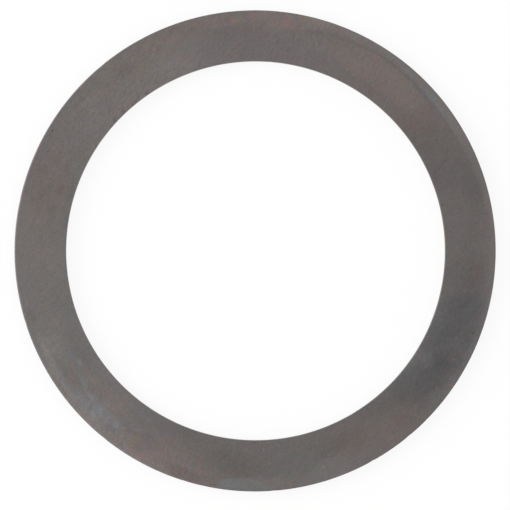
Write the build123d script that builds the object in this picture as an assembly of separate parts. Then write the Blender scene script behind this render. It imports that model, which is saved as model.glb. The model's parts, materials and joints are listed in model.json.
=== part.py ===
from build123d import *
import os

# Shim ring: a flat steel ring that takes up end play beside a bearing, over a shaft or inside a housing.
#
# It is one piece of cold rolled strip. A follow-on tool pierces the bore and then blanks the rim, and each
# cut leaves the same edge on the metal: a corner drawn down where the metal ran into the tool (the die
# roll), a bright straight land, a torn zone that steps back into the metal, and a far corner that tumbling
# has rounded. The two cuts run into the strip from opposite faces, so the rim is rolled on the top face
# and the bore on the underside.
#
# Frame: millimetres, +Z up along the ring's axis, origin at the centre of the underside.

# The housing that the ring fits, and the space across which it reaches from there to the shaft.
housing_diameter = 45.0
seat_width = 5.0
shaft_diameter = housing_diameter - 2 * seat_width

# How far each cut stays clear of housing and shaft, on the diameter.
rim_allowance = 0.25
bore_allowance = 0.25

# Strip gauge.
thickness = 1.0

# The punched edge. Its zones grow with the gauge, as the gap between punch and die does.
roll_width = 0.14 * thickness
roll_depth = 0.08 * thickness
land_height = 0.45 * thickness
fracture_step = 0.04 * thickness

# Corner radius that tumbling leaves on the burr side.
edge_break = 0.05

rim_radius = (housing_diameter - rim_allowance) / 2
bore_radius = (shaft_diameter + bore_allowance) / 2


def punched_edge():
    """One cut edge as a flat wire, from the rolled corner to the far face.

    The origin is the sharp corner that the roll replaces, with +X pointing out of the metal and +Y
    pointing out of the rolled face. The far corner is still sharp.
    """
    land_top = (0, -roll_depth)
    land_foot = (0, -roll_depth - land_height)
    far_corner = (-fracture_step, -thickness)
    roll = EllipticalCenterArc((-roll_width, -roll_depth), roll_width, roll_depth, 90, arc_size=-90)
    return Wire([roll, Line(land_top, land_foot), Line(land_foot, far_corner)])


def ring_section():
    """Half section through the strip, in X (radius) and Y (height), with both far corners broken."""
    rim_edge = Pos(rim_radius, thickness) * punched_edge()
    bore_edge = Pos(bore_radius, 0) * Rot(0, 0, 180) * punched_edge()
    underside = Line(rim_edge @ 1, bore_edge @ 0)
    top_face = Line(bore_edge @ 1, rim_edge @ 0)
    section = make_face([*rim_edge.edges(), underside, *bore_edge.edges(), top_face])
    far_corners = [
        section.vertices().sort_by_distance(rim_edge @ 1)[0],
        section.vertices().sort_by_distance(bore_edge @ 1)[0],
    ]
    return fillet(far_corners, radius=edge_break)


def shim_ring():
    """The finished ring: its half section turned once round the axis."""
    return revolve(Plane.XZ * ring_section(), axis=Axis.Z)


ring = shim_ring()
ring.label = "shim_ring"

os.makedirs("parts", exist_ok=True)
export_step(ring, "parts/shim_ring.step")

print(f"bore {2 * bore_radius:.3f}, rim {2 * rim_radius:.3f}, volume {ring.volume:.2f} mm3")
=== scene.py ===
from collections import namedtuple
import json
import math
import bpy
import numpy as np
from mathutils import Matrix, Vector


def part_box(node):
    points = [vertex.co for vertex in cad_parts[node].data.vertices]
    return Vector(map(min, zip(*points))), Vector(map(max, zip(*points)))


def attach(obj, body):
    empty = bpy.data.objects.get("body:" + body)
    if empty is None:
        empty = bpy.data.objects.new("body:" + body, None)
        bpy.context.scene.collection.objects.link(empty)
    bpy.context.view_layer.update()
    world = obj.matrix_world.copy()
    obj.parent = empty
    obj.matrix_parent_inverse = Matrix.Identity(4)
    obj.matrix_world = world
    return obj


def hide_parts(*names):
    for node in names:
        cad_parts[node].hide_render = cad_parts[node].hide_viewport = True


# Shim ring: one flat ring punched from cold rolled strip. It lies on a pale table and is seen from
# straight above.
#
# The ring's surface is its half section carried round the axis, with the marks that punching and
# tumbling leave on the two cut edges. Its finish is the rolled skin: a dull grey brown with a straight
# rolling grain, clouded by thin patches of oxide and dried oil that lie where they do on this one ring.
# Shapes are worked out in millimetres and go into the mesh in metres.

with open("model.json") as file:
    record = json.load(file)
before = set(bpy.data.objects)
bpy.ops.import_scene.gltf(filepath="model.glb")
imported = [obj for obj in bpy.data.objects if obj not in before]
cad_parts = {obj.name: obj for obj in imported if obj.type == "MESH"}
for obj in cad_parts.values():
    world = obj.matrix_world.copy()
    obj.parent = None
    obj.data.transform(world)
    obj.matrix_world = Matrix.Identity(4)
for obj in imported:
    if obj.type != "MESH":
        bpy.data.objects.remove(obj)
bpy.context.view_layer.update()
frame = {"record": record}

MM = 0.001
lowest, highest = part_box("shim_ring")
mounts = {mount["name"]: mount for mount in frame["record"]["mounts"]}

underside = lowest.z / MM
top_face = highest.z / MM
thickness = top_face - underside
rim_radius = mounts["rim"]["dims"]["r_mm"]
bore_radius = mounts["bore"]["dims"]["r_mm"]

# The punched edge, from the rolled corner to the far one. The land's length and place are the rim
# mount's, and the roll's width and the step of the torn zone follow the gauge.
land_height = mounts["rim"]["dims"]["length_mm"]
roll_depth = top_face - mounts["rim"]["pos_m"][2] / MM - land_height / 2
roll_width = 0.14 * thickness
fracture_step = 0.04 * thickness
edge_break = 0.05

# How far the bore was pierced off the rim's centre, and which way in degrees.
bore_shift = 0.042
bore_shift_way = 9

# How unevenly the edges are cut. The land's foot, the roll and the far corner wander by these shares
# of their size, in up to so many waves a turn.
FOOT_WANDER, FOOT_WAVES = 0.16, 90
ROLL_WANDER, ROLL_WAVES = 0.12, 12
BREAK_WANDER, BREAK_WAVES = 0.15, 60

# Dents knocked into the rolled corners: how many, how far in, and what share of that they go down.
NICK_COUNT = 9
NICK_DEPTH = 0.035
NICK_DROP = 0.6

# How far the torn face is hollowed, and how many waves make it rough.
TEAR_DEPTH = 0.008
TEAR_WAVES = 40

# How fine the surface is: steps round the axis, and steps along each stretch of the section.
STEPS_ROUND = 960
ROLL_STEPS = 12
LAND_STEPS = 4
TORN_STEPS = 8
BREAK_STEPS = 6
FACE_STEPS = 14


# ---- the ring's surface ----

def wander(angle, waves, seed):
    """A line that wanders between about -1 and 1 and closes on itself after one turn.

    It is the sum of cosines with 1 to `waves` periods a turn, each of a random phase and height,
    scaled to a root mean square of one half.
    """
    draw = np.random.default_rng(seed)
    periods = np.arange(1, waves + 1)
    phase = draw.uniform(0, 2 * math.pi, waves)
    height = draw.uniform(0.3, 1.0, waves)
    height /= 2 * np.sqrt((height ** 2).sum() / 2)
    return (height * np.cos(np.multiply.outer(angle, periods) + phase)).sum(-1)


def torn_grain(angle, depth, seed, waves=TEAR_WAVES):
    """The torn metal's roughness between about -1 and 1, a sum of slanting waves over angle and depth.

    Each wave is the cosine of a whole number of periods a turn plus a few periods down the wall.
    """
    draw = np.random.default_rng(seed)
    round_periods = draw.integers(90, 420, waves)
    down_periods = draw.uniform(-9, 9, waves)
    phase = draw.uniform(0, 2 * math.pi, waves)
    total = np.zeros_like(depth)
    for around, down, start in zip(round_periods, down_periods, phase):
        total += np.cos(around * angle[:, None] + 2 * math.pi * down * depth / thickness + start)
    return total / math.sqrt(waves)


def nicks(angle, count, seed):
    """Small dents knocked into a corner while the rings tumbled.

    It is a sum of bells up to 1 high, each the exponential of minus (way round / width) squared.
    """
    draw = np.random.default_rng(seed)
    centres = draw.uniform(0, 2 * math.pi, count)
    widths = draw.uniform(0.006, 0.016, count)
    heights = draw.uniform(0.3, 1.0, count)
    away = (angle[:, None] - centres + math.pi) % (2 * math.pi) - math.pi
    return (heights * np.exp(-(away / widths) ** 2)).sum(-1)


def punched_edge(angle, seed):
    """One cut edge at every angle, from the rolled corner to the far one.

    The roll is a quarter ellipse, the land a straight drop whose foot wanders, the torn zone a slope
    with a rough face, and the far corner a quarter circle. Returns how far each point stands out of
    the metal, how deep it lies below the rolled face, and three marks between 0 and 1: land, torn and
    rubbed.
    """
    column = np.ones((len(angle), 1))
    foot = roll_depth + land_height * (1 + FOOT_WANDER * wander(angle, FOOT_WAVES, seed)[:, None])
    width = roll_width * (1 + ROLL_WANDER * wander(angle, ROLL_WAVES, seed + 1)[:, None])
    corner = edge_break * (1 + BREAK_WANDER * wander(angle, BREAK_WAVES, seed + 2)[:, None])
    dent = NICK_DEPTH * nicks(angle, NICK_COUNT, seed + 3)[:, None]

    turn = np.linspace(math.pi / 2, 0, ROLL_STEPS + 1)
    roll_out = width * (np.cos(turn) - 1) - dent * np.cos(turn) ** 2
    dent_down = NICK_DROP * dent * np.sin(turn) * np.cos(turn)
    roll_down = roll_depth * (1 - np.sin(turn)) * column + dent_down

    share = np.linspace(0, 1, LAND_STEPS + 1)[1:]
    land_out = -dent * (1 - share) ** 2
    land_down = roll_depth + (foot - roll_depth) * share

    share = np.linspace(0, 1, TORN_STEPS + 1)[1:]
    torn_down = foot + (thickness - corner - foot) * share
    slope = fracture_step * (torn_down - foot) / (thickness - foot)
    hollow = np.sin(math.pi * share) * (1 + torn_grain(angle, torn_down, seed + 4))
    torn_out = -slope - TEAR_DEPTH * hollow

    turn = np.linspace(0, math.pi / 2, BREAK_STEPS + 1)[1:]
    break_out = torn_out[:, -1:] - corner * (1 - np.cos(turn))
    break_down = thickness - corner * (1 - np.sin(turn))

    out = np.hstack([roll_out, land_out, torn_out, break_out])
    down = np.hstack([roll_down, land_down, torn_down, break_down])
    to_land, to_torn = ROLL_STEPS, ROLL_STEPS + LAND_STEPS + 1
    marks = {
        "land": np.r_[np.zeros(to_land), np.ones(LAND_STEPS + 1), np.zeros(TORN_STEPS + BREAK_STEPS)],
        "torn": np.r_[np.zeros(to_torn), np.ones(TORN_STEPS), np.zeros(BREAK_STEPS)],
        "rubbed": np.r_[np.linspace(0, 1, ROLL_STEPS), np.zeros(LAND_STEPS + TORN_STEPS + 1),
                        np.ones(1), np.linspace(1, 0, BREAK_STEPS - 1)],
    }
    return out, down, marks


def ring_section(angle):
    """The closed half section at every angle, as radius and height, with its marks.

    It runs down the rim, inwards along the underside, up the bore and outwards along the top face.
    The points of a flat face crowd towards its ends, as the cosine of an even turn does, to keep it
    flat. The bore lies a little off the rim's centre, so its radius gains the shift times the cosine
    of the angle from the shift's way.
    """
    rim_out, rim_down, rim_marks = punched_edge(angle, seed=11)
    bore_out, bore_down, bore_marks = punched_edge(angle, seed=47)
    rim_r, rim_z = rim_radius + rim_out, top_face - rim_down
    shift = bore_shift * np.cos(angle - math.radians(bore_shift_way))[:, None]
    bore_r, bore_z = bore_radius + shift - bore_out, underside + bore_down

    share = (1 - np.cos(np.linspace(0, math.pi, FACE_STEPS + 1)[1:-1])) / 2
    under_r = rim_r[:, -1:] + (bore_r[:, :1] - rim_r[:, -1:]) * share
    top_r = bore_r[:, -1:] + (rim_r[:, :1] - bore_r[:, -1:]) * share
    flat = np.zeros_like(under_r)

    radius = np.hstack([rim_r, under_r, bore_r, top_r])
    height = np.hstack([rim_z, flat + underside, bore_z, flat + top_face])
    plain = np.zeros(FACE_STEPS - 1)
    marks = {name: np.r_[rim_marks[name], plain, bore_marks[name], plain] for name in rim_marks}
    return radius, height, marks


def unwrapped(radius, height, strips=3, gap=0.004):
    """The map's u and v at every face corner.

    The surface is cut across into strips, laid one over another on the map. Along a strip u is the
    share of its turn, and across it v is the length along the mean section, with a gap all round.
    """
    round_steps, places = radius.shape
    mean_r, mean_z = radius.mean(0), height.mean(0)
    step = np.hypot(np.roll(mean_r, -1) - mean_r, np.roll(mean_z, -1) - mean_z)
    along = np.r_[0, np.cumsum(step)] / step.sum()
    per_strip = round_steps // strips
    row, place = np.divmod(np.arange(round_steps * places), places)
    strip, within = np.divmod(row, per_strip)

    def v(where):
        return (strip + gap + (1 - 2 * gap) * along[where]) / strips

    u_near = gap + (1 - 2 * gap) * within / per_strip
    u_far = gap + (1 - 2 * gap) * (within + 1) / per_strip
    corners = [(u_near, v(place)), (u_near, v(place + 1)), (u_far, v(place + 1)), (u_far, v(place))]
    return np.stack([np.stack(corner, -1) for corner in corners], 1).reshape(-1, 2)


def ring_mesh(name):
    """The section carried round the axis: point (i, j) stands at angle i and at place j of the section.

    Each face joins two neighbouring angles and two neighbouring places. Both ways close on themselves.
    """
    angle = np.arange(STEPS_ROUND) * 2 * math.pi / STEPS_ROUND
    radius, height, marks = ring_section(angle)
    places = radius.shape[1]
    points = np.stack([radius * np.cos(angle)[:, None], radius * np.sin(angle)[:, None], height], -1)

    index = np.arange(STEPS_ROUND * places).reshape(STEPS_ROUND, places)
    onward, around = np.roll(index, -1, 1), np.roll(index, -1, 0)
    faces = np.stack([index, onward, np.roll(onward, -1, 0), around], -1).reshape(-1, 4)

    mesh = bpy.data.meshes.new(name)
    mesh.from_pydata((points.reshape(-1, 3) * MM).tolist(), [], faces.tolist())
    for mark, values in marks.items():
        layer = mesh.attributes.new(mark, "FLOAT", "POINT")
        layer.data.foreach_set("value", np.tile(values, STEPS_ROUND).astype(np.float32))
    chart = mesh.uv_layers.new(name="OFBake")
    chart.data.foreach_set("uv", unwrapped(radius, height).astype(np.float32).ravel())
    mesh.polygons.foreach_set("use_smooth", np.ones(len(mesh.polygons), bool))
    mesh.update()
    return mesh


# ---- the finish: colours ----

# The bare rolled skin, and the films on it as how much more or less red, green and blue they send back.
SKIN = (0.153, 0.1380, 0.1345)
GREY = (0.86, 0.875, 0.87)
DUSK = (0.72, 0.74, 0.75)
SLATE = (0.70, 0.75, 0.775)
NAVY = (0.73, 0.795, 0.86)
PEAT = (0.80, 0.78, 0.74)
PLUM = (1.02, 1.00, 1.05)
ROSE = (1.17, 1.07, 1.04)
UMBER = (1.02, 0.975, 0.955)
LOAM = (0.82, 0.76, 0.74)
RUST = (1.00, 0.88, 0.86)
COPPER = (1.08, 0.96, 0.87)
RED = (1.30, 1.00, 0.98)
AMBER = (1.26, 1.14, 0.98)
TAN = (1.20, 1.11, 1.07)
OLIVE = (1.09, 1.105, 1.09)
STRAW = (1.14, 1.12, 1.06)
PALE = (1.13, 1.145, 1.165)
HAZE = (1.17, 1.28, 1.38)
CHALK = (1.27, 1.31, 1.28)
BLUE = (1.00, 1.12, 1.22)
# the tint of a painted highlight: the pale bluish line of light along the left rim
PAINTED_RIM_HIGHLIGHT_VIOLET = (1.10, 1.05, 1.25)
TEAL = (1.04, 1.14, 1.16)
PIT = (0.60, 0.50, 0.50)
# the tint of painted glints of light
GLINT = (1.70, 1.70, 1.70)

# The cut metal of the land and of the torn zone, and what rubbing adds at the corners.
LAND = (0.30, 0.285, 0.275)
TORN = (0.19, 0.177, 0.172)
RUBBED = (1.20, 1.22, 1.24)


def even(level):
    """The same share of red, green and blue."""
    return (level, level, level)


# ---- the finish: where the films lie ----

# A film's place and look: first and last angle in degrees, from the right and against the clock as seen
# from above, how far in from the rim it starts and ends in millimetres, its tint, how much of it there
# is, how soft its edge is, how far it leans inwards over half its length in millimetres, and how patchy
# it is.
Film = namedtuple("Film", "first last start end tint cover softness lean patchy", defaults=(0.0, 0.15))

# Films with a soft, ragged edge.
# Together the clouds leave the ring darker on its right and lighter on its left: partly its own oxide,
# and partly painted light and shade as from a light on the left.
CLOUDS = [
    # the right: the grey side of the ring, darkest at 16 and at 24 degrees, partly its own oxide and
    # partly painted shade on the side away from the light
    Film(-14, 38, 0.40, 8.00, GREY, 0.85, 0.30),
    Film(-12, -2, 1.00, 2.40, RUST, 0.45, 0.60),
    Film(-13, 0, 0.80, 3.00, GREY, 0.22, 0.60),
    Film(2, 38, 0.60, 8.00, ROSE, 0.17, 0.60),
    Film(4, 28, 0.90, 5.20, PLUM, 0.45, 0.60),
    Film(12, 20, 0.50, 2.30, DUSK, 0.27, 0.60),
    Film(18, 30, 0.60, 5.60, DUSK, 0.18, 0.60),
    Film(29, 36, 1.20, 5.60, GREY, 0.32, 0.60),
    Film(-6, 18, 3.30, 5.80, PALE, 0.20, 0.60),
    Film(4, 20, 0.10, 0.55, TAN, 0.24, 0.70),
    Film(11, 25, -0.60, 1.00, GREY, 0.26, 0.60),
    Film(20, 36, -0.30, 0.95, OLIVE, 0.25, 0.50),
    Film(9, 36, 0.60, 1.80, GREY, 0.28, 0.60),
    Film(15, 26, 2.30, 5.20, GREY, 0.16, 0.60),
    Film(355, 365, 1.10, 2.40, PALE, 0.14, 0.60),
    Film(345, 355, -1.00, 1.20, GREY, 0.12, 0.60),
    Film(345, 355, 2.40, 5.20, GREY, 0.12, 0.60),
    # upper right: what the pale band along the rim holds
    Film(33, 45, -0.50, 0.95, TEAL, 0.28, 0.40),
    Film(35.5, 44, 0.60, 1.08, BLUE, 0.42, 0.60),
    Film(47, 56, 0.30, 0.90, TEAL, 0.22, 0.60),
    Film(51, 78, -0.60, 0.80, PALE, 0.50, 0.60),
    Film(14, 66, -0.60, 0.26, RUST, 0.25, 0.50),
    Film(60, 80, -0.80, 0.90, TAN, 0.35, 0.60),
    # behind the band, a rose patch that is brown at its lower end
    Film(40, 70, 0.90, 3.65, ROSE, 0.90, 0.35),
    Film(43, 62, 2.80, 4.10, GREY, 0.24, 0.60),
    Film(32, 44, 3.60, 5.00, GREY, 0.25, 0.60),
    Film(34, 41, 1.20, 3.60, RUST, 0.58, 0.50),
    Film(36, 47, 3.10, 5.20, RUST, 0.38, 0.50),
    Film(44, 62, 2.80, 5.40, RUST, 0.12, 0.60),
    Film(35, 45, 1.20, 2.40, GREY, 0.15, 0.60),
    Film(64, 75, -0.80, 1.20, PALE, 0.14, 0.60),
    Film(63.5, 68.5, 3.80, 5.20, GREY, 0.36, 0.50),
    # the top: brown with red and amber dots along the rim, and plum behind it
    Film(68, 110, 1.30, 7.00, PLUM, 0.62, 0.35),
    Film(70, 78, 1.60, 3.00, OLIVE, 0.40, 0.50),
    Film(64, 69.5, 3.60, 5.00, OLIVE, 0.50, 0.50),
    Film(74.5, 78, 2.80, 4.80, OLIVE, 0.40, 0.50),
    Film(97, 105, 3.90, 5.40, OLIVE, 0.50, 0.50),
    Film(92, 108, -1.20, 1.20, OLIVE, 0.12, 0.50),
    Film(98, 116, -1.00, 1.60, UMBER, 0.60, 0.50),
    Film(78.5, 84, 0.40, 1.35, RED, 0.09, 0.50),
    Film(79.7, 83.0, 0.65, 1.45, RED, 0.34, 0.50, 0.0, 0.5),
    Film(84.4, 86.0, 0.70, 1.30, RED, 0.20, 0.60),
    Film(83, 88, 1.30, 1.80, AMBER, 0.35, 0.60),
    Film(90.2, 91.7, 0.15, 1.20, RED, 0.30, 0.60, -0.32),
    Film(90.0, 91.3, 0.50, 1.25, AMBER, 0.40, 0.60, -0.10),
    Film(93.4, 96.3, 0.70, 1.15, RED, 0.36, 0.60),
    Film(94.6, 96.2, 0.74, 1.06, RED, 0.60, 0.50),
    Film(97.2, 98.2, 0.35, 0.60, AMBER, 0.70, 0.60),
    Film(99.2, 100.4, 0.40, 0.80, AMBER, 0.50, 0.60),
    Film(96.2, 97.4, 0.50, 1.15, NAVY, 0.30, 0.60),
    Film(89, 100, 1.30, 2.80, DUSK, 0.14, 0.60),
    Film(75, 86, 1.10, 2.40, PALE, 0.14, 0.60),
    Film(101.5, 106, 0.50, 1.70, COPPER, 0.34, 0.50),
    # upper left: a pale inner side, and streaky brown towards the rim
    Film(108, 149.5, 2.30, 6.60, PALE, 0.70, 0.35),
    Film(104, 118, 1.20, 4.60, OLIVE, 0.70, 0.50, 0.30),
    Film(105, 128, 3.40, 6.00, TAN, 0.18, 0.60),
    Film(109, 120, -1.00, 2.30, STRAW, 0.42, 0.50, 0.20, 0.6),
    Film(114, 127, 0.50, 3.00, TAN, 0.26, 0.50, 0.0, 0.6),
    Film(114, 127, 0.50, 3.00, GREY, 0.20, 0.60),
    Film(124, 136, 2.30, 3.70, GREY, 0.22, 0.60),
    Film(112, 126, 3.50, 5.20, GREY, 0.20, 0.60),
    Film(134, 146, -1.00, 1.20, GREY, 0.20, 0.60),
    Film(135, 146, 3.50, 5.20, GREY, 0.14, 0.60),
    Film(114, 127, -0.80, 2.40, GREY, 0.16, 0.60),
    Film(134, 138, 1.90, 2.80, GREY, 0.36, 0.50),
    Film(118, 142, -1.40, 2.60, STRAW, 0.32, 0.50, 0.0, 0.5),
    Film(117, 122, 1.50, 2.50, STRAW, 0.20, 0.60),
    Film(120, 145, -1.00, 2.60, OLIVE, 0.15, 0.60),
    Film(124, 142, -1.00, 0.90, PALE, 0.16, 0.60),
    Film(106, 146, -1.00, 4.20, STRAW, 0.12, 0.50, 0.0, 0.9),
    Film(132, 150, 2.20, 4.40, GREY, 0.14, 0.60),
    Film(108, 156, 2.60, 5.60, STRAW, 0.10, 0.50),
    Film(103, 116, 0.20, 4.20, PALE, 0.08, 0.60),
    Film(123.5, 129, 1.10, 2.20, NAVY, 0.28, 0.60, 0.10),
    Film(121, 125.5, 2.00, 2.40, AMBER, 0.08, 0.60, 0.10),
    Film(134, 156, 0.60, 3.00, PALE, 0.36, 0.50, 0.0, 0.4),
    Film(127, 141, 4.30, 5.00, RUST, 0.26, 0.50, 0.0, 0.8),
    # the left: a brown cloud, and the olive side below it
    Film(150, 172, 0.80, 3.90, UMBER, 0.65, 0.40, 0.0, 0.4),
    Film(156, 172, 0.80, 2.70, RUST, 0.12, 0.50, 0.0, 0.8),
    Film(159, 166.5, 3.20, 3.80, RUST, 0.26, 0.60, 0.25),
    Film(164, 177, 2.60, 5.60, GREY, 0.24, 0.60),
    Film(163, 176, -1.00, 0.90, PALE, 0.25, 0.60),
    Film(149, 165, 2.30, 3.90, PALE, 0.14, 0.60),
    Film(128, 152, 3.60, 5.20, TAN, 0.12, 0.60),
    Film(150, 160, 0.20, 1.00, PLUM, 0.60, 0.50),
    Film(168, 208, -2.00, 7.00, OLIVE, 0.90, 0.40),
    Film(174, 186, 0.80, 4.80, TAN, 0.14, 0.60, 0.0, 0.6),
    Film(183, 238, 0.60, 8.00, BLUE, 0.13, 0.40),
    Film(184, 203, 0.80, 3.40, GREY, 0.16, 0.60),
    Film(189, 200, 3.00, 5.50, GREY, 0.35, 0.60),
    Film(194, 198, 0.40, 1.10, GREY, 0.50, 0.60),
    Film(192, 194, 0.50, 0.90, ROSE, 0.60, 0.60),
    Film(198, 200.5, 2.30, 2.90, ROSE, 0.60, 0.60),
    Film(174, 187, -1.00, 6.00, GREY, 0.10, 0.50),
    Film(195, 205, 3.60, 5.20, GREY, 0.20, 0.60),
    Film(154, 176, -1.00, 1.60, ROSE, 0.16, 0.60),
    Film(184, 196, -0.60, 2.40, BLUE, 0.13, 0.60),
    Film(202.4, 205.6, 1.00, 1.70, CHALK, 0.20, 0.50),
    # lower left: what lies round the haze
    Film(200, 238, -1.00, 3.20, OLIVE, 0.65, 0.40),
    Film(202, 211, 1.50, 2.50, CHALK, 0.20, 0.50, 0.0, 0.5),
    Film(211, 217.5, 1.15, 2.25, LOAM, 0.25, 0.50, 0.0, 0.5),
    Film(212.5, 217, 1.20, 2.10, ROSE, 0.40, 0.60, 0.0, 0.8),
    Film(227.5, 233, 0.85, 1.35, DUSK, 0.20, 0.60),
    Film(223, 234, -0.80, 0.95, TAN, 0.52, 0.50),
    Film(217, 233, 2.20, 3.80, TAN, 0.58, 0.40, 0.0, 0.5),
    Film(206, 242, 1.20, 6.00, PALE, 0.14, 0.50),
    Film(200, 244, 3.60, 5.60, OLIVE, 0.60, 0.50),
    Film(202, 215, 2.90, 4.80, DUSK, 0.22, 0.50, 0.20),
    Film(206, 232, -1.00, 0.50, TAN, 0.80, 0.50, 0.0, 0.3),
    Film(238, 248, -0.60, 0.70, TAN, 0.42, 0.60, 0.0, 0.3),
    Film(232.5, 237.5, -0.40, 1.60, OLIVE, 0.45, 0.50),
    Film(212, 239, -1.00, 0.90, PALE, 0.36, 0.60),
    # below it, brown with darker and bluish spots
    Film(232, 261, -2.00, 3.00, TAN, 0.66, 0.40, 0.0, 0.3),
    Film(235.6, 240, 1.00, 2.50, COPPER, 0.50, 0.50, 0.0, 0.4),
    Film(236, 256, -0.90, 0.70, PALE, 0.50, 0.60, 0.0, 0.3),
    Film(238.5, 243, 1.50, 2.80, NAVY, 0.36, 0.60, -0.20),
    Film(240.6, 245, 0.60, 1.30, TAN, 0.28, 0.60),
    Film(237.6, 240.6, 0.40, 1.10, GREY, 0.24, 0.60),
    Film(239.4, 242.6, 1.20, 2.60, BLUE, 0.26, 0.60, -0.20),
    Film(248.5, 257.0, 0.00, 1.20, LOAM, 0.56, 0.40, 0.0, 0.6),
    Film(250.5, 254.5, 1.20, 1.55, BLUE, 0.50, 0.50, -0.10),
    Film(232, 254, 3.60, 6.00, NAVY, 0.28, 0.40),
    Film(228, 246, -0.60, 1.20, BLUE, 0.12, 0.60),
    Film(243.4, 246.6, 0.60, 1.50, TAN, 0.26, 0.50),
    # the bottom: a dark cloud, paler towards the rim, and a brown one to its right
    Film(248, 302, 1.90, 7.50, GREY, 0.52, 0.45),
    Film(254, 274, 1.00, 3.50, PEAT, 0.25, 0.60),
    Film(253, 268, 3.40, 5.20, PALE, 0.14, 0.60),
    Film(256, 265, -0.60, 1.00, GREY, 0.15, 0.60),
    Film(276, 292, -0.80, 1.00, PALE, 0.12, 0.60),
    Film(295, 306, 0.90, 3.60, GREY, 0.20, 0.60),
    Film(296, 306, 3.60, 5.40, PALE, 0.25, 0.60),
    Film(257, 268, 1.80, 3.90, DUSK, 0.12, 0.60),
    Film(244, 261, 1.20, 3.90, NAVY, 0.08, 0.60),
    Film(266, 288, -1.00, 6.00, TEAL, 0.20, 0.60),
    Film(284.5, 294, -0.60, 2.20, TEAL, 0.40, 0.25),
    Film(274, 285, 0.70, 2.80, GREY, 0.36, 0.60),
    Film(284, 293, 0.80, 3.60, GREY, 0.26, 0.60),
    Film(290, 304, 1.00, 3.60, UMBER, 0.75, 0.45, 0.0, 0.5),
    Film(293, 304, 1.30, 3.20, RUST, 0.20, 0.50, 0.0, 0.8),
    Film(290, 296, 2.40, 3.70, PEAT, 0.35, 0.60),
    Film(300, 322, 2.20, 6.50, GREY, 0.84, 0.50),
    Film(305, 310, 0.30, 2.60, TAN, 0.20, 0.60, 0.0, 0.5),
    Film(303, 319, -1.20, 2.20, RUST, 0.32, 0.50, 0.0, 0.5),
    Film(307, 317, 1.40, 3.60, RUST, 0.32, 0.60),
    Film(266, 276, 1.20, 2.40, GREY, 0.14, 0.60),
    Film(284, 296, -0.60, 1.20, ROSE, 0.16, 0.60),
    Film(287.5, 292, 1.90, 2.80, GREY, 0.34, 0.60),
    Film(294.6, 300, 1.60, 3.90, GREY, 0.22, 0.60),
    Film(302, 308, 2.40, 4.60, ROSE, 0.32, 0.50),
    # lower right: the slate cloud
    Film(327.5, 348.4, -1.20, 5.60, SLATE, 0.47, 0.18, -0.35, 0.1),
    Film(317, 350, 0.50, 4.20, SLATE, 0.46, 0.35, -0.25, 0.1),
    Film(313, 331, 1.10, 4.50, SLATE, 0.50, 0.28, -0.50, 0.1),
    Film(329, 339, 1.80, 3.80, SLATE, 0.12, 0.50),
    Film(343, 350, 0.35, 1.40, SLATE, 0.20, 0.50),
    Film(326, 352, -0.90, 0.42, PALE, 0.50, 0.40),
    Film(317, 330, -1.00, 1.50, GREY, 0.30, 0.50),
    Film(320, 331, -0.80, 0.85, GREY, 0.34, 0.50),
    Film(319.5, 328, 1.30, 3.10, NAVY, 0.30, 0.50),
    Film(346, 359, 0.20, 3.70, NAVY, 0.28, 0.60),
    # a painted highlight: a thin pale band along the rim, lighter where the rolled edge catches light
    Film(346, 373, -0.80, 0.36, PALE, 0.28, 0.50),
    Film(334, 347, 0.90, 3.70, NAVY, 0.22, 0.60),
    Film(324.5, 334.5, 0.70, 2.40, PEAT, 0.26, 0.50, 0.0, 0.1),
    Film(331.5, 336.5, 1.00, 2.70, PLUM, 0.80, 0.60),
    Film(332, 336.5, 1.00, 2.60, ROSE, 0.30, 0.60),
    Film(325.4, 330, 2.80, 3.95, CHALK, 0.52, 0.45),
    Film(308, 346, 3.50, 5.40, BLUE, 0.24, 0.50),
    Film(309, 322, 3.60, 5.20, SLATE, 0.08, 0.50),
    Film(330, 352, 3.70, 5.40, GREY, 0.16, 0.60),
    Film(328.5, 335, 3.30, 5.20, TAN, 0.12, 0.60),
    Film(302, 314, 3.20, 5.20, SLATE, 0.12, 0.50),
    Film(308, 321, 0.20, 2.40, SLATE, 0.22, 0.60),
    Film(319, 334, -0.60, 0.95, HAZE, 0.12, 0.60, 0.0, 0.8),
    Film(326, 328.6, 0.35, 0.85, BLUE, 0.14, 0.50),
    Film(321.5, 324, 0.40, 0.90, BLUE, 0.24, 0.50),
    Film(325, 337, 3.60, 5.20, GREY, 0.20, 0.60),
    # coarse blotches in places, darker and lighter in turn
    Film(150, 186, -0.50, 5.40, GREY, 0.11, 0.40, 0.0, 1.0),
    Film(150, 186, -0.50, 5.40, PALE, 0.08, 0.40, 0.0, -1.0),
    Film(95, 215, 2.20, 6.00, GREY, 0.14, 0.30, 0.0, 1.0),
    Film(95, 215, 2.20, 6.00, PALE, 0.14, 0.30, 0.0, -1.0),
    Film(266, 300, -2.00, 2.60, GREY, 0.13, 0.40, 0.0, 1.0),
    Film(266, 300, -2.00, 2.60, PALE, 0.13, 0.40, 0.0, -1.0),
]

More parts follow.
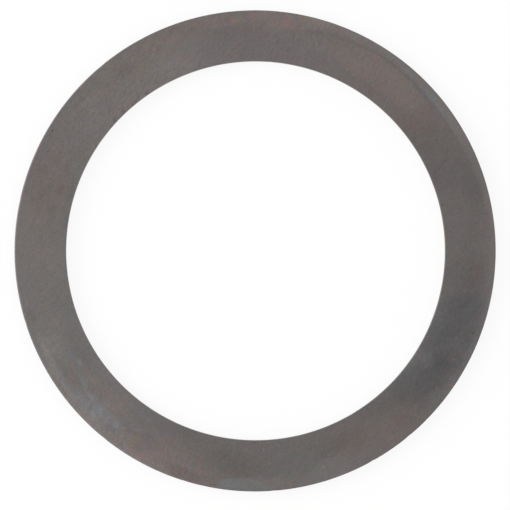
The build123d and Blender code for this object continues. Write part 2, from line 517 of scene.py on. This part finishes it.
# Films with a crisp edge, such as dried oil leaves.
EDGED = [
    # upper right and top: the pale band along the rim, the brown one, and the tide line behind them
    Film(3, 61, -1.60, 0.84, PALE, 0.50, 0.08, 0.08),
    Film(72, 90, -1.20, 1.60, TAN, 0.76, 0.16, 0.30),
    Film(86, 108, -1.20, 1.35, TAN, 0.42, 0.16),
    Film(28, 47, 0.90, 1.14, DUSK, 0.20, 0.60, 0.03),
    Film(39, 60, 0.76, 1.04, DUSK, 0.26, 0.60, -0.10),
    Film(52, 72, 0.80, 1.04, DUSK, 0.20, 0.60, 0.10),
    Film(63, 87, 1.18, 1.46, DUSK, 0.17, 0.60, 0.36),
    # lower left: the haze, with gaps in it
    Film(202, 219, 0.35, 1.15, CHALK, 0.30, 0.35, 0.0, 0.5),
    Film(210.5, 216.5, 0.55, 1.05, HAZE, 0.20, 0.50),
    Film(202, 208.5, 0.60, 1.60, CHALK, 0.26, 0.40, 0.0, 0.5),
    Film(206.5, 211.5, 0.75, 1.35, BLUE, 0.14, 0.40, 0.0, 0.3),
    Film(207.4, 210.6, 1.55, 2.80, GREY, 0.34, 0.50),
    Film(207, 213.5, 0.30, 0.95, CHALK, 0.22, 0.50, 0.0, 0.0),
    Film(223.5, 229, 0.45, 1.20, HAZE, 0.20, 0.50),
    Film(216, 234, 0.35, 1.50, HAZE, 0.26, 0.50, 0.0, 0.5),
    Film(218.6, 227.0, 0.70, 2.20, HAZE, 0.34, 0.35, 0.0, 0.4),
    Film(218.8, 226, 0.40, 1.60, CHALK, 0.18, 0.50, 0.0, 0.6),
    Film(219.4, 222.6, 2.90, 3.70, GREY, 0.48, 0.50),
    Film(228.4, 231.6, 1.05, 2.30, HAZE, 0.24, 0.35),
    Film(228.6, 231.4, 1.50, 2.30, CHALK, 0.14, 0.50),
    Film(233.5, 238, 2.30, 3.10, BLUE, 0.28, 0.50),
    Film(234.6, 237.4, 1.50, 2.30, GREY, 0.34, 0.50),
    Film(219, 225, 2.30, 3.00, DUSK, 0.16, 0.60),
    Film(223, 233.3, 1.25, 2.15, HAZE, 0.36, 0.25, 0.0, 0.4),
    Film(223, 234, 1.10, 2.10, TEAL, 0.08, 0.40),
    Film(224.4, 227.6, 0.80, 1.60, ROSE, 0.24, 0.50),
    Film(214.4, 217.6, 1.00, 1.80, ROSE, 0.26, 0.50),
    Film(215, 222.5, 1.95, 2.40, HAZE, 0.45, 0.40, -0.30, 0.3),
    Film(208.3, 211.9, 2.45, 3.05, BLUE, 0.40, 0.40, 0.25),
    Film(211.4, 213.7, 2.85, 3.30, HAZE, 0.62, 0.35),
    Film(234.6, 239.8, 2.42, 2.62, HAZE, 0.36, 0.50, 0.50, 0.0),
    # the left half of the rim: a thin bluish edge, a painted highlight where the rolled edge catches
    # the light, not a film on the metal
    Film(116, 218, -0.60, 0.19, PAINTED_RIM_HIGHLIGHT_VIOLET, 0.44, 0.40),
    Film(190, 252, -0.60, 0.25, BLUE, 0.56, 0.40),
    # the bottom: the pale crescent on the rim
    Film(260, 266, 1.00, 1.16, DUSK, 0.25, 0.60, 0.20),
    Film(288, 294, 1.78, 1.92, DUSK, 0.20, 0.60, -0.40),
    Film(260.6, 273.4, -1.50, 1.28, TEAL, 0.66, 0.10),
    Film(261.5, 270.5, 1.24, 2.60, PEAT, 0.22, 0.30),
    Film(261, 266.2, 0.15, 1.05, BLUE, 0.36, 0.40),
    Film(261, 264.6, 0.20, 1.12, HAZE, 0.18, 0.50),
    Film(271.4, 278.5, 0.15, 1.20, TAN, 0.36, 0.50),
    Film(285.8, 293, 0.90, 2.00, ROSE, 0.28, 0.35),
    Film(268.6, 269.8, 0.75, 1.15, BLUE, 0.40, 0.40),
    Film(265.2, 268.6, 0.30, 1.15, OLIVE, 0.40, 0.40),
    # lower right: specks between the slate cloud and the rim
    Film(314.4, 320.4, 0.85, 1.50, GREY, 0.42, 0.40),
    Film(320.8, 323.2, 0.40, 0.90, GREY, 0.36, 0.40),
    Film(320.6, 323.6, 0.95, 1.50, PALE, 0.42, 0.40),
    Film(323.2, 327.0, 0.40, 1.05, NAVY, 0.28, 0.40),
    Film(329.6, 332.6, 0.90, 1.60, TAN, 0.28, 0.40),
    Film(332.4, 335.6, 0.10, 1.00, PALE, 0.40, 0.40),
    Film(314.4, 317.6, 2.10, 2.90, TAN, 0.30, 0.40),
    Film(322.5, 323.3, 1.05, 1.25, AMBER, 0.46, 0.50),
    Film(323.9, 324.6, 0.62, 0.85, RED, 0.36, 0.50),
    Film(325.2, 326.0, 0.05, 0.28, AMBER, 0.46, 0.50),
]

# Single marks, which lie exactly where they are put.
MARKS = [
    # pits
    Film(149.20, 149.62, 0.38, 0.53, (0.45, 0.34, 0.31), 0.85, 0.60),
    Film(122.28, 122.62, 3.82, 3.96, PIT, 0.65, 0.60),
    Film(126.72, 127.06, 4.04, 4.18, PIT, 0.65, 0.60),
    # rust dots, most of them at the bore
    Film(13.55, 14.00, 4.30, 4.42, (1.05, 0.60, 0.50), 0.75, 0.60),
    Film(124.2, 124.9, 4.52, 4.70, (0.66, 0.57, 0.50), 0.70, 0.60),
    Film(128.3, 129.1, 4.48, 4.70, (0.72, 0.61, 0.53), 0.58, 0.60),
    Film(129.6, 130.2, 4.52, 4.72, (0.72, 0.61, 0.54), 0.55, 0.60),
    Film(132.8, 134.0, 4.38, 4.68, (0.74, 0.62, 0.52), 0.60, 0.60),
    Film(136.2, 137.0, 4.24, 4.60, (0.92, 0.79, 0.71), 0.50, 0.60),
    Film(136.9, 137.7, 4.50, 4.72, (0.64, 0.60, 0.59), 0.60, 0.60),
    Film(138.5, 139.4, 4.52, 4.72, (0.82, 0.67, 0.58), 0.60, 0.60),
    # bright dots: painted glints of light
    Film(244.05, 244.35, 0.42, 0.58, (1.70, 1.65, 1.50), 0.50, 0.60),
    Film(245.55, 245.85, 0.38, 0.54, (1.90, 1.80, 1.60), 0.50, 0.60),
    Film(287.36, 287.90, 1.26, 1.40, (1.60, 1.60, 1.60), 0.75, 0.60),
    Film(272.15, 272.60, 3.88, 4.00, GLINT, 0.50, 0.60),
    Film(331.15, 331.50, 1.29, 1.41, GLINT, 0.50, 0.60),
    Film(342.45, 342.80, 3.74, 3.88, GLINT, 0.50, 0.60),
    # scratches across the brown
    Film(244.38, 244.62, 0.20, 3.80, (1.20, 1.20, 1.20), 0.50, 0.60),
    Film(248.40, 248.64, 0.90, 3.80, (1.18, 1.18, 1.18), 0.50, 0.60),
]

# The films from here on tint a strength instead of a colour. Where the grain is straighter and finer:
STRAIGHT = [
    Film(46, 160, -2.00, 7.00, even(1.75), 1.0, 0.30),
]

# Where the grain is stronger or weaker:
GRAINY = [
    Film(-176, 56, -2.00, 7.00, even(1.25), 1.0, 0.30),
    Film(-90, 38, -2.00, 7.00, even(0.90), 1.0, 0.30),
    Film(112, 180, -2.00, 6.00, even(1.18), 1.0, 0.30),
    Film(318, 337, -1.00, 2.00, even(1.25), 1.0, 0.40),
    Film(314, 352, -2.00, 6.00, even(1.12), 1.0, 0.30),
]

# Where the mottle is livelier or calmer, in red, green and blue:
LIVELY = [
    Film(20, 74, -2.00, 1.20, (1.50, 1.50, 1.30), 1.0, 0.40),
    Film(74, 122, -2.00, 2.20, (1.50, 1.50, 1.30), 1.0, 0.40),
    Film(44, 70, 1.30, 3.60, even(0.75), 1.0, 0.40),
    Film(212, 268, -2.00, 2.40, (1.45, 1.45, 1.50), 1.0, 0.40),
    Film(266, 392, 2.20, 6.50, (0.95, 0.95, 0.55), 1.0, 0.40),
    Film(-25, 74, -2.00, 2.60, (1.30, 1.20, 1.10), 1.0, 0.40),
    Film(270, 332, -2.00, 2.60, (1.25, 1.15, 1.05), 1.0, 0.40),
    Film(318, 336, -1.00, 1.60, (1.50, 1.60, 1.70), 1.0, 0.40),
]


# ---- the finish: grain, mottle and cut edges ----

# The rolling grain and the way it lies, in degrees. Its strokes and lines are so long and so wide, and
# its specks and clots so wide, in millimetres. Where it isn't straight, strokes turn to clots.
GRAIN_DIRECTION = 62
STROKE = (0.36, 0.15)
LINE = (1.6, 0.035)
SPECK = 0.10
CLOT = 0.24
STRAIGHTNESS = 0.55

# How much strokes, specks and lines count in the grain, what has to come off to keep it around 0.5, and
# how far its contrast goes down and up in patches.
STROKE_SHARE = 0.42
SPECK_SHARE = 0.42
LINE_SHARE = 0.30
GRAIN_EXCESS = (STROKE_SHARE + SPECK_SHARE + LINE_SHARE - 1) / 2
GRAIN_CONTRAST = (0.55, 1.65)

# The mottle: its largest blots in millimetres, how far it leans to red, green and blue, and how much
# each of them counts for how light a colour looks.
MOTTLE_SIZE = 0.65
MOTTLE_STRENGTH = (0.285, 0.285, 0.245)
LIGHTNESS = (0.3, 0.59, 0.11)

# How far noise carries soft films and crisp ones astray, in millimetres.
CLOUD_DRIFT = 0.6
EDGE_DRIFT = 0.3

# How far apart the underside's clouds read their noise, so that they don't lie over each other.
FAR_ASIDE = 40

# The cut edges. The land's grooves and the torn zone's tears are so wide and so high in millimetres,
# and make the metal so dark and so bright. The corners are rubbed by this share.
SCORE = (0.07, 3.0)
TEAR = (0.07, 0.16)
LAND_SHADES = (0.75, 1.15)
TORN_SHADES = (0.75, 1.25)
RUBBED_SHARE = 0.6

# How rough each surface is, from its smoothest to its dullest, how deep its relief is in millimetres,
# and how many times deeper on the torn zone.
SKIN_ROUGHNESS = (0.46, 0.54)
LAND_ROUGHNESS = (0.24, 0.36)
TORN_ROUGHNESS = 0.62
RELIEF_DEPTH = 0.003
TORN_RELIEF = 3.0


# ---- the finish: the material ----

class Nodes:
    """Short calls that add nodes to one tree, so that a finish reads like the formula that it is."""

    def __init__(self, tree):
        self.tree = tree

    def add(self, kind, *inputs, **settings):
        """A node with its settings. Its inputs are numbers, colours or outputs of other nodes."""
        node = self.tree.nodes.new(kind)
        for name, value in settings.items():
            setattr(node, name, value)
        for socket, value in zip(node.inputs, inputs):
            self.feed(socket, value)
        return node

    def feed(self, socket, value):
        """Links an output to a socket, or sets the socket's own value."""
        if isinstance(value, bpy.types.NodeSocket):
            self.tree.links.new(value, socket)
        else:
            socket.default_value = value

    def math(self, operation, *inputs):
        """The result of one sum on numbers."""
        return self.add("ShaderNodeMath", *inputs, operation=operation).outputs[0]

    def vector(self, operation, *inputs):
        """The result of one sum on vectors or colours."""
        return self.add("ShaderNodeVectorMath", *inputs, operation=operation).outputs[0]

    def scaled(self, vector, factor):
        """A vector made longer by a fixed factor."""
        node = self.add("ShaderNodeVectorMath", vector, operation="SCALE")
        node.inputs["Scale"].default_value = factor
        return node.outputs[0]

    def ramp(self, value, start, end, low=0.0, high=1.0):
        """A smooth climb from low to high while the value goes from start to end.

        The smooth step keeps to that range by itself. A clamp on top would be one more node a film, and
        with so many films more than the renderer can hold.
        """
        return self.add("ShaderNodeMapRange", value, start, end, low, high,
                        interpolation_type="SMOOTHSTEP", clamp=False).outputs[0]

    def tinted(self, colour, tint, amount, blend="MULTIPLY"):
        """The colour with a tint laid over it, by an amount from 0 to 1."""
        node = self.add("ShaderNodeMix", data_type="RGBA", blend_type=blend)
        self.feed(node.inputs[0], amount)
        self.feed(node.inputs[6], colour)
        self.feed(node.inputs[7], (*tint, 1) if isinstance(tint, tuple) else tint)
        return node.outputs[2]

    def blended(self, one, other, share):
        """A number that goes from one to the other as the share goes from 0 to 1."""
        node = self.add("ShaderNodeMix", share, data_type="FLOAT")
        self.feed(node.inputs[2], one)
        self.feed(node.inputs[3], other)
        return node.outputs[0]

    def noise(self, place, size, detail, output="Fac", roughness=0.5):
        """Cloudy noise around 0.5, its largest blots about `size` across in the place's own unit."""
        node = self.add("ShaderNodeTexNoise")
        self.feed(node.inputs["Vector"], place)
        node.inputs["Scale"].default_value = 1 / size
        node.inputs["Detail"].default_value = detail
        node.inputs["Roughness"].default_value = roughness
        return node.outputs[output]

    def drift(self, place, size, detail):
        """A push some random way, each of its three parts between about -0.5 and 0.5."""
        return self.vector("SUBTRACT", self.noise(place, size, detail, output="Color"), even(0.5))

    def grey(self, level):
        """A colour with the same level of red, green and blue."""
        return self.add("ShaderNodeCombineXYZ", level, level, level).outputs[0]

    def stretched(self, place, scale, turn=0.0):
        """The place measured in blots of this size in millimetres, turned about the axis in degrees."""
        node = self.add("ShaderNodeMapping", vector_type="TEXTURE")
        self.feed(node.inputs["Vector"], place)
        node.inputs["Rotation"].default_value = (0, 0, math.radians(turn))
        node.inputs["Scale"].default_value = scale
        return node.outputs[0]

    def along_grain(self, place, length, width):
        """The place measured in strokes along the grain, so long and so wide in millimetres."""
        return self.stretched(place, (length, width, width), GRAIN_DIRECTION)

    def upright(self, place, width, height):
        """The place measured in marks on the cut edges, so wide and so high in millimetres."""
        return self.stretched(place, (width, width, height))


def film_group():
    """A node group that lays one film over the colour it is given.

    The film covers an oval: the distance is the square root of (way round / half length) squared plus
    (way in / half width) squared, and the cover falls from 1 to 0 about distance 1. Patches, between -1
    and 1, add to the cover and take from it.
    """
    tree = bpy.data.node_groups.new("film", "ShaderNodeTree")
    numbers = ["Angle", "Inset", "Patches", "Middle", "Middle inset", "Half length", "Half width",
               "Cover", "Softness", "Lean", "Patchy"]
    tree.interface.new_socket("Colour", in_out="INPUT", socket_type="NodeSocketColor")
    tree.interface.new_socket("Tint", in_out="INPUT", socket_type="NodeSocketColor")
    for name in numbers:
        tree.interface.new_socket(name, in_out="INPUT", socket_type="NodeSocketFloat")
    tree.interface.new_socket("Colour", in_out="OUTPUT", socket_type="NodeSocketColor")
    n = Nodes(tree)
    given = n.add("NodeGroupInput").outputs

    turned = n.math("SUBTRACT", given["Angle"], given["Middle"])
    turned = n.math("WRAP", turned, 180, -180)
    along = n.math("DIVIDE", turned, given["Half length"])
    sideways = n.math("SUBTRACT", given["Inset"], given["Middle inset"])
    sideways = n.math("SUBTRACT", sideways, n.math("MULTIPLY", along, given["Lean"]))
    across = n.math("DIVIDE", sideways, given["Half width"])
    away = n.math("SQRT", n.math("ADD", n.math("POWER", along, 2), n.math("POWER", across, 2)))
    outer = n.math("ADD", 1, given["Softness"])
    inner = n.math("SUBTRACT", 1, given["Softness"])
    cover = n.math("MULTIPLY", n.ramp(away, outer, inner), given["Cover"])
    patchy = n.math("MULTIPLY_ADD", given["Patches"], given["Patchy"], 1)
    cover = n.math("MULTIPLY", cover, patchy)
    n.add("NodeGroupOutput", n.tinted(given["Colour"], given["Tint"], cover))
    return tree


def laid(n, films, colour, place, patches=0.0):
    """The colour with each of the films laid over it, one after the other.

    The angle is the arc tangent of y over x, and the inset is the rim's radius less the square root
    of x squared plus y squared.
    """
    x, y, _ = n.add("ShaderNodeSeparateXYZ", place).outputs
    angle = n.math("DEGREES", n.math("ARCTAN2", y, x))
    radius = n.math("SQRT", n.math("ADD", n.math("POWER", x, 2), n.math("POWER", y, 2)))
    inset = n.math("SUBTRACT", rim_radius, radius)
    tree = bpy.data.node_groups.get("film") or film_group()
    for film in films:
        node = n.add("ShaderNodeGroup", node_tree=tree)
        values = (colour, (*film.tint, 1), angle, inset, patches,
                  (film.first + film.last) / 2, (film.start + film.end) / 2,
                  (film.last - film.first) / 2, (film.end - film.start) / 2,
                  film.cover, film.softness, film.lean, film.patchy)
        for socket, value in zip(node.inputs, values):
            n.feed(socket, value)
        colour = node.outputs[0]
    return colour


def skin_colour(n, place):
    """The rolled skin, with this ring's own films on its top face and loose clouds on its underside."""
    billows = n.drift(place, size=2.6, detail=2)
    streaks = n.drift(n.along_grain(place, 1.4, 0.35), size=1, detail=3)
    astray = n.vector("ADD", n.scaled(billows, CLOUD_DRIFT), n.scaled(streaks, CLOUD_DRIFT))
    ripples = n.drift(place, size=0.9, detail=2)
    nearly = n.vector("ADD", place, n.scaled(ripples, EDGE_DRIFT))
    patches = n.noise(n.along_grain(place, 1.2, 0.6), size=1, detail=4)
    patches = n.ramp(patches, 0.3, 0.7, -1, 1)
    above = laid(n, CLOUDS, (*SKIN, 1), n.vector("ADD", place, astray), patches)
    above = laid(n, EDGED, above, nearly, patches)
    above = laid(n, MARKS, above, place, patches)

    below = n.tinted((*SKIN, 1), SLATE, n.ramp(n.noise(place, size=9, detail=4), 0.5, 0.7))
    aside = n.vector("ADD", place, (FAR_ASIDE, 0, 0))
    below = n.tinted(below, TAN, n.ramp(n.noise(aside, size=7, detail=4), 0.5, 0.68))
    aside = n.vector("ADD", place, (0, FAR_ASIDE, 0))
    below = n.tinted(below, PALE, n.ramp(n.noise(aside, size=6, detail=4), 0.5, 0.68))

    # one face's colours turn to the other's half way up the cut edges, under their bare metal
    height = n.add("ShaderNodeSeparateXYZ", place).outputs[2]
    middle = (top_face + underside) / 2
    return n.tinted(below, above, n.ramp(height, middle - 0.1, middle + 0.1), "MIX")


def rolled_steel():
    """The ring's finish: the rolled skin with its films and grain, and the cut edges' bare metal."""
    material = bpy.data.materials.new("rolled_steel")
    material.use_nodes = True
    tree = material.node_tree
    n = Nodes(tree)
    shader = tree.nodes["Principled BSDF"]
    place = n.scaled(n.add("ShaderNodeTexCoord").outputs["Object"], 1 / MM)
    land, torn, rubbed = (n.add("ShaderNodeAttribute", attribute_name=mark).outputs["Fac"]
                          for mark in ("land", "torn", "rubbed"))
    colour = skin_colour(n, place)

    # the rolling grain: short strokes and fine lines all one way, over even specks, and patches where
    # it is stronger
    strokes = n.noise(n.along_grain(place, *STROKE), size=1, detail=2)
    lines = n.noise(n.along_grain(place, *LINE), size=1, detail=2)
    specks = n.noise(place, size=SPECK, detail=1)
    straight = laid(n, STRAIGHT, (*even(STRAIGHTNESS), 1), place)
    strokes = n.blended(n.noise(place, size=CLOT, detail=2), strokes, straight)
    lines = n.blended(0.5, lines, straight)
    grain = n.math("MULTIPLY", strokes, STROKE_SHARE)
    grain = n.math("ADD", grain, n.math("MULTIPLY", specks, SPECK_SHARE))
    grain = n.math("ADD", grain, n.math("MULTIPLY", lines, LINE_SHARE))
    grain = n.math("SUBTRACT", grain, GRAIN_EXCESS)
    contrast = n.ramp(n.noise(place, size=0.5, detail=2), 0.35, 0.7, *GRAIN_CONTRAST)
    contrast = n.math("MULTIPLY", contrast, laid(n, GRAINY, (1, 1, 1, 1), place))
    tone = n.math("MULTIPLY_ADD", n.math("SUBTRACT", grain, 0.5), contrast, 1.0)
    colour = n.tinted(colour, n.grey(tone), 1.0)

    # a fine mottle that leans to red, green or blue and gets neither lighter nor darker
    mottle = n.noise(place, size=MOTTLE_SIZE, detail=3, output="Color", roughness=0.7)
    level = n.add("ShaderNodeVectorMath", mottle, LIGHTNESS, operation="DOT_PRODUCT").outputs["Value"]
    lean = n.vector("SUBTRACT", mottle, n.grey(level))
    lean = n.vector("MULTIPLY", lean, laid(n, LIVELY, (*MOTTLE_STRENGTH, 1), place))
    colour = n.tinted(colour, n.vector("ADD", lean, (1, 1, 1)), 1.0)

    # the cut edges: scored bright land, dull torn metal, and corners rubbed clean
    scores = n.noise(n.upright(place, *SCORE), size=1, detail=3)
    tearing = n.noise(n.upright(place, *TEAR), size=1, detail=4, roughness=0.6)
    bright = n.tinted((*LAND, 1), n.ramp(scores, 0.25, 0.75, *LAND_SHADES), 1.0)
    colour = n.tinted(colour, bright, land, "MIX")
    dull = n.tinted((*TORN, 1), n.ramp(tearing, 0.25, 0.75, *TORN_SHADES), 1.0)
    colour = n.tinted(colour, dull, torn, "MIX")
    colour = n.tinted(colour, RUBBED, n.math("MULTIPLY", rubbed, RUBBED_SHARE))

    n.feed(shader.inputs["Base Color"], colour)
    shader.inputs["Metallic"].default_value = 1.0
    roughness = n.ramp(grain, 0.2, 0.8, *SKIN_ROUGHNESS)
    roughness = n.blended(roughness, n.ramp(scores, 0.3, 0.7, *LAND_ROUGHNESS), land)
    roughness = n.blended(roughness, TORN_ROUGHNESS, torn)
    n.feed(shader.inputs["Roughness"], roughness)
    relief = n.blended(grain, scores, land)
    relief = n.blended(relief, n.math("MULTIPLY", tearing, TORN_RELIEF), torn)
    bump = n.add("ShaderNodeBump")
    bump.inputs["Strength"].default_value = 1.0
    bump.inputs["Distance"].default_value = RELIEF_DEPTH * MM
    n.feed(bump.inputs["Height"], relief)
    n.feed(shader.inputs["Normal"], bump.outputs[0])
    return material


# ---- the table, the light and the camera ----

# What a background sends out to show as white, the table's own colour, how much of the light and
# shadow on it shows, and how much light falls on it.
WHITE = 1.0
PAPER = 0.8
SHADOW_SHARE = 0.18
TABLE_LIGHT = 0.95

# Half the table's width in metres, and how far it lies under the ring in millimetres, so that the two
# don't meet.
TABLE_HALF = 2.0
TABLE_GAP = 0.01

# How strong the light from all sides is.
ROOM_LIGHT = 0.75

# How high the camera hangs over the ring in metres, and in millimetres how wide its view is at the top
# face and how far the view's middle lies from the ring's.
LENS_HEIGHT = 0.55
VIEW_WIDTH = 47.417
VIEW_MIDDLE = (-0.009, -0.382)


def seen_directly(n):
    """1 for a ray that the camera sees straight, in a reflection or through glass, and otherwise 0."""
    path = n.add("ShaderNodeLightPath").outputs
    seen = n.math("MAXIMUM", path["Is Camera Ray"], path["Is Glossy Ray"])
    return n.math("MAXIMUM", seen, path["Is Transmission Ray"])


def table():
    """A flat pale table. What it lacks of white is added where it is seen, shadow and all."""
    half = TABLE_HALF
    level = (underside - TABLE_GAP) * MM
    corners = [(-half, -half, level), (half, -half, level), (half, half, level), (-half, half, level)]
    mesh = bpy.data.meshes.new("table")
    mesh.from_pydata(corners, [], [(0, 1, 2, 3)])
    material = bpy.data.materials.new("table_paper")
    material.use_nodes = True
    n = Nodes(material.node_tree)
    shader = material.node_tree.nodes["Principled BSDF"]
    seen = seen_directly(n)
    lit = PAPER * SHADOW_SHARE
    n.feed(shader.inputs["Base Color"], n.tinted((*even(PAPER), 1), even(lit), seen, "MIX"))
    shader.inputs["Roughness"].default_value = 0.9
    shader.inputs["Specular IOR Level"].default_value = 0.0
    shader.inputs["Emission Color"].default_value = (1, 1, 1, 1)
    n.feed(shader.inputs["Emission Strength"], n.math("MULTIPLY", seen, WHITE - TABLE_LIGHT * lit))
    mesh.materials.append(material)
    plate = bpy.data.objects.new("table", mesh)
    bpy.context.scene.collection.objects.link(plate)


def surroundings():
    """Soft pale light from all sides, which shows as white where it is seen."""
    world = bpy.data.worlds.new("soft_room")
    bpy.context.scene.world = world
    world.use_nodes = True
    n = Nodes(world.node_tree)
    room = world.node_tree.nodes["Background"]
    room.inputs["Color"].default_value = (1, 1, 1, 1)
    strength = n.ramp(seen_directly(n), 0, 1, ROOM_LIGHT, WHITE)
    n.feed(room.inputs["Strength"], strength)


def softbox(name, place, size, power):
    """A square area lamp that faces the ring's middle. Place and size are in metres, power in watts."""
    lamp = bpy.data.lights.new(name, "AREA")
    lamp.shape = "SQUARE"
    lamp.size = size
    lamp.energy = power
    box = bpy.data.objects.new(name, lamp)
    box.location = place
    box.rotation_euler = Vector(place).to_track_quat("Z", "Y").to_euler()
    bpy.context.scene.collection.objects.link(box)


def camera():
    """A long lens looking straight down. Its view takes in the ring and its margins."""
    data = bpy.data.cameras.new("overhead")
    data.sensor_width = 36
    data.lens = data.sensor_width * LENS_HEIGHT / (VIEW_WIDTH * MM)
    eye = bpy.data.objects.new("overhead", data)
    eye.location = (VIEW_MIDDLE[0] * MM, VIEW_MIDDLE[1] * MM, top_face * MM + LENS_HEIGHT)
    bpy.context.scene.collection.objects.link(eye)
    bpy.context.scene.camera = eye


# ---- the scene ----

ring = bpy.data.objects.new("shim_ring_finished", ring_mesh("shim_ring_finished"))
bpy.context.scene.collection.objects.link(ring)
ring.data.materials.append(rolled_steel())
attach(ring, "root")
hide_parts("shim_ring")

table()
surroundings()
softbox("window_left", place=(-0.50, 0.10, 0.28), size=0.35, power=1.5)
camera()
bpy.context.scene.view_settings.view_transform = "Standard"
